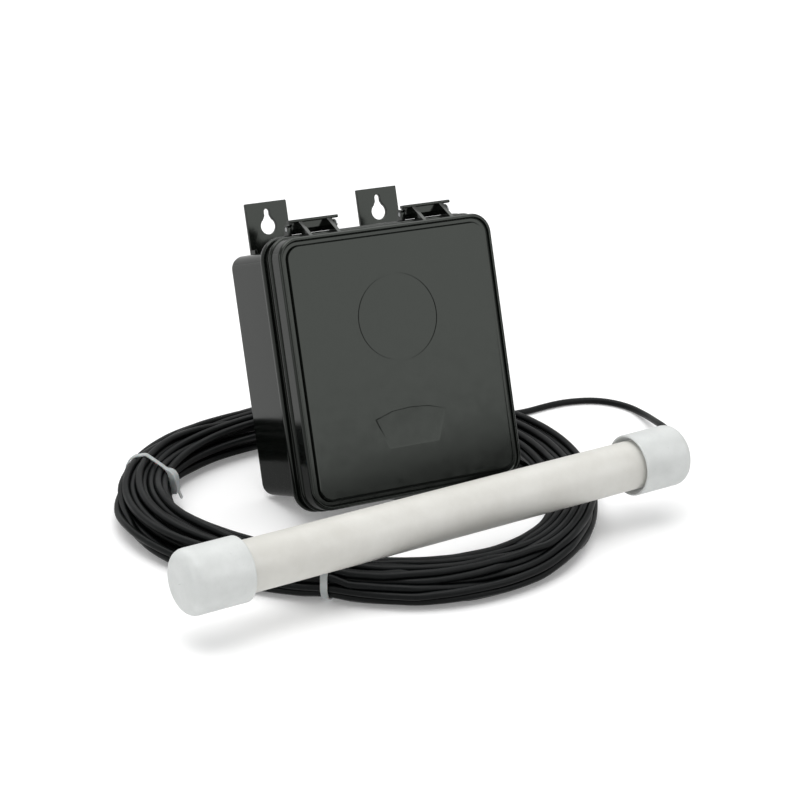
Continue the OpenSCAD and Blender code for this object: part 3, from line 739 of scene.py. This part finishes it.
def make_tabs():
    """Two wall tabs with keyholes, on the rear of the base."""
    parts = []
    half, base, top, entry = 15.75, 168, 204.5, 187.4
    for tx in (-43.5, 43.5):
        outline = [(tx - half, base), (tx + half, base), (tx + half, 171)]
        outline += arc(tx + half - 0.8, top - 0.8, 0.8, 0, 90, 4)
        outline += arc(tx - half + 0.8, top - 0.8, 0.8, 90, 180, 4)
        keyhole = arc(tx, entry, 5.8, 128, 412, 34) + [(tx + 2.1, entry + 7.4)]
        keyhole += arc(tx, entry + 10.2, 2.1, 0, 180, 10) + [(tx - 2.1, entry + 7.4)]
        parts.append(along_y(plate([outline, keyhole], 3, 0.35)))
        for s in (-1, 1):
            side = tx + s * (half - 1)
            parts.append(brick((side - 1, -9, base), (side + 1, -2.9, 172), 0.3))
    obj = piece("wall_tabs", solid("wall_tabs", parts, CASE), "root", "case_plastic", ["base_tabs"])
    even_shading(obj)


make_lid()
make_hinges()
make_base()
make_tabs()


# ---- Cable ties round the coil ----

def convex_loop(dots):
    """Convex outline of flat points, anticlockwise."""
    dots = sorted(map(tuple, dots))

    def chain(points):
        out = []
        for p in points:
            while len(out) > 1 and ((out[-1][0] - out[-2][0]) * (p[1] - out[-2][1])
                                    <= (out[-1][1] - out[-2][1]) * (p[0] - out[-2][0])):
                out.pop()
            out.append(p)
        return out[:-1]

    return chain(dots) + chain(dots[::-1])


def even_loop(loop, count):
    """The loop as a count of evenly spaced points."""
    p = np.array(list(loop) + [loop[0]])
    run = np.concatenate([[0], np.cumsum(np.linalg.norm(np.diff(p, axis=0), axis=1))])
    at = np.linspace(0, run[-1], count, endpoint=False)
    return np.stack([np.interp(at, run, p[:, i]) for i in (0, 1)], 1), run[-1]


def make_tie(name, degrees, head_low, skew):
    """Strap pulled tight round the strands that pass one place, with its locking head at a height.

    The skew is how far the strap slants along the bundle for each millimetre across it.
    """
    t = math.radians(degrees)
    middle = ring_centre(np.array(t))
    out = ring_normal(np.array(t))
    along = np.array([-out[1], out[0]])
    flat = (path[:, :2] / MM - middle)
    near = np.abs(flat @ along + skew * (flat @ out)) < STRAP_W / 2 + 0.5
    near &= np.linalg.norm(flat, axis=1) < 60
    spots = np.stack([flat[near] @ out, path[near, 2] / MM], 1)
    rim = [(u + 2.75 * math.cos(a), max(w + 2.75 * math.sin(a), STRAP_T))
           for u, w in spots for a in np.linspace(0, 2 * math.pi, 17)[:-1]]
    loop, around = even_loop(convex_loop(rim), 140)
    loop = (np.roll(loop, 1, 0) + 2 * loop + np.roll(loop, -1, 0)) / 4
    tangent = np.roll(loop, -1, 0) - np.roll(loop, 1, 0)
    tangent /= np.linalg.norm(tangent, axis=1, keepdims=True)
    normal = np.stack([tangent[:, 1], -tangent[:, 0]], 1)
    upper = (loop[:, 0] < loop[:, 0].mean()) & (loop[:, 1] > head_low)
    seat = np.flatnonzero(upper)[np.argmin(np.abs(loop[upper, 1] - head_low))]
    rings = []
    for i in range(len(loop)):
        away = abs((i - seat + len(loop) / 2) % len(loop) - len(loop) / 2) * around / len(loop)
        swell = 1 / (1 + (away / 6.4) ** 8)
        half_w = STRAP_W / 2 + 2.9 * swell
        thick = STRAP_T + 5.4 * swell
        ring = []
        for x, y in round_rect(2 * half_w, thick, min(0.5 + 0.7 * swell, thick / 2 - 0.02), 3):
            lift = loop[i] + normal[i] * (y + thick / 2)
            spot = middle + out * lift[0] + along * (x - skew * lift[0])
            ring.append((spot[0], spot[1], max(lift[1], 0.02)))
        rings.append(ring)
    strap = loft(rings, True)
    base = loop[seat] + normal[seat] * (STRAP_T + 4.2)
    tail = []
    for k in range(5):
        lift = base + tangent[seat] * (4.5 + 1.5 * k) + normal[seat] * (0.10 * k * k)
        ring = []
        for x, y in round_rect(STRAP_W - 0.5, STRAP_T, 0.4, 2):
            off = lift + normal[seat] * y
            spot = middle + out * off[0] + along * (x - skew * off[0])
            ring.append((spot[0], spot[1], off[1]))
        tail.append(ring)
    obj = piece(name + "_strap", solid(name + "_strap", [strap, loft(tail)], Matrix.Scale(MM, 4)), "root",
                "tie_nylon", [name])
    even_shading(obj)


make_tie("cable_tie_left", TIES["cable_tie_left"], 16.5, 0.8)
make_tie("cable_tie_front", TIES["cable_tie_front"], 13, 0.0)


# ---- Probe, in its own frame: z along its axis from the blind end ----

def cap_profile():
    """Half section of an end cap: domed end, round shoulder, rounded mouth, socket."""
    r, round_r, mouth, socket, length, floor_z = 21.0, 6.5, 1.1, 16.75, 42.0, 5.5
    dome = [(x, 0.1 + x * x / 320) for x in (0.4, 4, 8, 11.5)]
    shoulder = [(r - round_r + round_r * math.sin(a), 0.75 + round_r - round_r * math.cos(a))
                for a in [math.radians(d) for d in range(12, 91, 13)]]
    lip = [(r - mouth + mouth * math.cos(a), length - mouth + mouth * math.sin(a))
           for a in [math.radians(d) for d in range(0, 91, 15)]]
    inside = [(socket + 2.9, length - 0.1), (socket + 2.5, length - 0.8), (socket + 0.8, length - 6),
              (socket, length - 7), (socket, floor_z + 0.6), (socket - 0.6, floor_z), (0.4, floor_z)]
    return dome + shoulder + lip + inside


def make_probe():
    cap = lathe(cap_profile(), 96)
    even_shading(piece("end_cap_blind", solid("end_cap_blind", [cap], PROBE), "root", "cap_plastic",
                       ["probe_cap_blind"]))
    hole = lathe([(4.5, -3), (4.5, 9)], 48, False)
    drilled = carve(cap, hole)
    flipped = [(x, y, 392 - z) for x, y, z in drilled[0]], drilled[1]
    even_shading(piece("end_cap_cable", solid("end_cap_cable", [flipped], PROBE), "root", "cap_plastic",
                       ["probe_cap_cable"]))
    tube = lathe([(13.3, 5.9), (16.3, 5.6), (16.7, 6.2), (16.7, 385.8), (16.3, 386.4), (13.3, 386.1)], 96)
    even_shading(piece("pipe", solid("pipe", [tube], PROBE), "root", "pipe_plastic", ["probe_tube"]))
    seal = lathe([(2.5, 386.5), (4.45, 386.5), (4.45, 391.9), (4.1, 392.5), (3.2, 392.9), (2.5, 393)], 48)
    even_shading(piece("cable_seal", solid("cable_seal", [seal], PROBE), "root", "bushing_plastic",
                       ["probe_cable_seal"]))


make_probe()
for obj in bpy.data.objects:  # the case doesn't mirror the probe
    if obj.name.startswith(("pipe", "end_cap", "cable_seal", "probe", "sensor", "centring")):
        obj.visible_glossy = False


# ---- Inner parts that keep their CAD shape: rounded edges and even shading ----

def soften(name, edge):
    node = nodes[name]
    weld = node.modifiers.new("weld", "WELD")
    weld.merge_threshold = 1e-6
    bevel = node.modifiers.new("edges", "BEVEL")
    bevel.width = edge * MM
    bevel.segments = 2
    bevel.limit_method = "ANGLE"
    bevel.angle_limit = math.radians(50)
    node.data.polygons.foreach_set("use_smooth", [True] * len(node.data.polygons))
    even_shading(node)


SOFT_EDGES = {
    "base_bosses": 0.25, "lid_gasket": 0.5, "hinge_pin_left": 0.3, "hinge_pin_right": 0.3,
    "cable_bushing": 0.5, "circuit_board": 0.15, "board_screws": 0.15, "radio_module": 0.2,
    "microcontroller": 0.12, "board_capacitors": 0.5, "terminal_block": 0.25, "terminal_screws": 0.12,
    "power_switch_body": 0.2, "power_switch_slider": 0.25, "dip_switch_body": 0.15, "trimmer_body": 0.2,
    "trimmer_rotor": 0.12, "status_led": 0.1, "battery_holder": 0.3, "battery_contacts": 0.1,
    "battery_1": 0.5, "battery_2": 0.5, "battery_3": 0.5, "sensor_bobbin": 0.3, "amplifier_board": 0.1,
    "amplifier_chip": 0.2, "probe_cable_clamp": 0.4,
    **{f"dip_lever_{i}": 0.15 for i in range(1, 9)},
}
for name, edge in SOFT_EDGES.items():
    soften(name, edge)


# ---- Floor, light, mirror cards ----

floor_mesh = bpy.data.meshes.new("floor")
floor_mesh.from_pydata([(-6, -6, 0), (6, -6, 0), (6, 6, 0), (-6, 6, 0)], [], [(0, 1, 2, 3)])
floor = bpy.data.objects.new("floor", floor_mesh)
floor.location.z = -0.0002
collection.objects.link(floor)
g = Graph("floor")
floor_mesh.materials.append(g.finish((0.86, 0.86, 0.86), 0.6, None, **{
    "Specular IOR Level": 0.2, "Emission Color": (1.0, 1.0, 1.0), "Emission Strength": 0.16}))

world = bpy.data.worlds.new("world")
bpy.context.scene.world = world
world.use_nodes = True
back = world.node_tree.nodes["Background"]
back.inputs["Color"].default_value = (1, 1, 1, 1)
back.inputs["Strength"].default_value = 0.56


def lamp(name, place, target, size, power):
    data = bpy.data.lights.new(name, "AREA")
    data.shape = "RECTANGLE"
    data.size, data.size_y = size
    data.energy = power
    obj = bpy.data.objects.new(name, data)
    obj.location = place
    aim(obj, target)
    collection.objects.link(obj)


def mirror_card(name, place, target, size, strength):
    """Card that only glossy surfaces see, for the reflections of a studio's softbox and dark gaps."""
    w, h = size[0] / 2, size[1] / 2
    mesh = bpy.data.meshes.new(name)
    mesh.from_pydata([(-w, -h, 0), (w, -h, 0), (w, h, 0), (-w, h, 0)], [], [(0, 1, 2, 3)])
    card = Graph(name)
    shine = (1.0, 1.0, 1.0) if strength else (0.0, 0.0, 0.0)
    mesh.materials.append(card.finish((0.0, 0.0, 0.0), 1.0, None, **{
        "Specular IOR Level": 0.0, "Emission Color": shine, "Emission Strength": strength}))
    obj = bpy.data.objects.new(name, mesh)
    obj.location = place
    aim(obj, target)
    obj.visible_camera = False
    obj.visible_diffuse = False
    obj.visible_shadow = False
    obj.visible_transmission = False
    collection.objects.link(obj)


lamp("key", (-0.3, -0.5, 1.8), (0, 0, 0.05), (1.1, 1.1), 8)
lamp("top", (0.2, 0.9, 2.8), (0.1, 0.6, 0.0), (4.0, 4.0), 78)
lamp("left", (-1.9, -0.4, 0.7), (0, 0, 0.05), (1.0, 1.0), 4)
mirror_card("softbox", (1.35, -2.45, 1.65), (0.03, 0, 0.1), (3.6, 2.3), 1.80)
mirror_card("dark_gap", (1.2, -2.25, 0.24), (0.03, 0, 0.24), (3.6, 0.52), 0)
mirror_card("floor_mirrored", (0, 0, -0.0001), (0, 0, -1), (8, 8), 0.64)
mirror_card("shade_mirrored", (-0.085, 0.07, 0.0001), (-0.085, 0.07, -1), (0.14, 0.28), 0.17)

scene = bpy.context.scene
scene.view_settings.view_transform = "Standard"
scene.view_settings.look = "None"
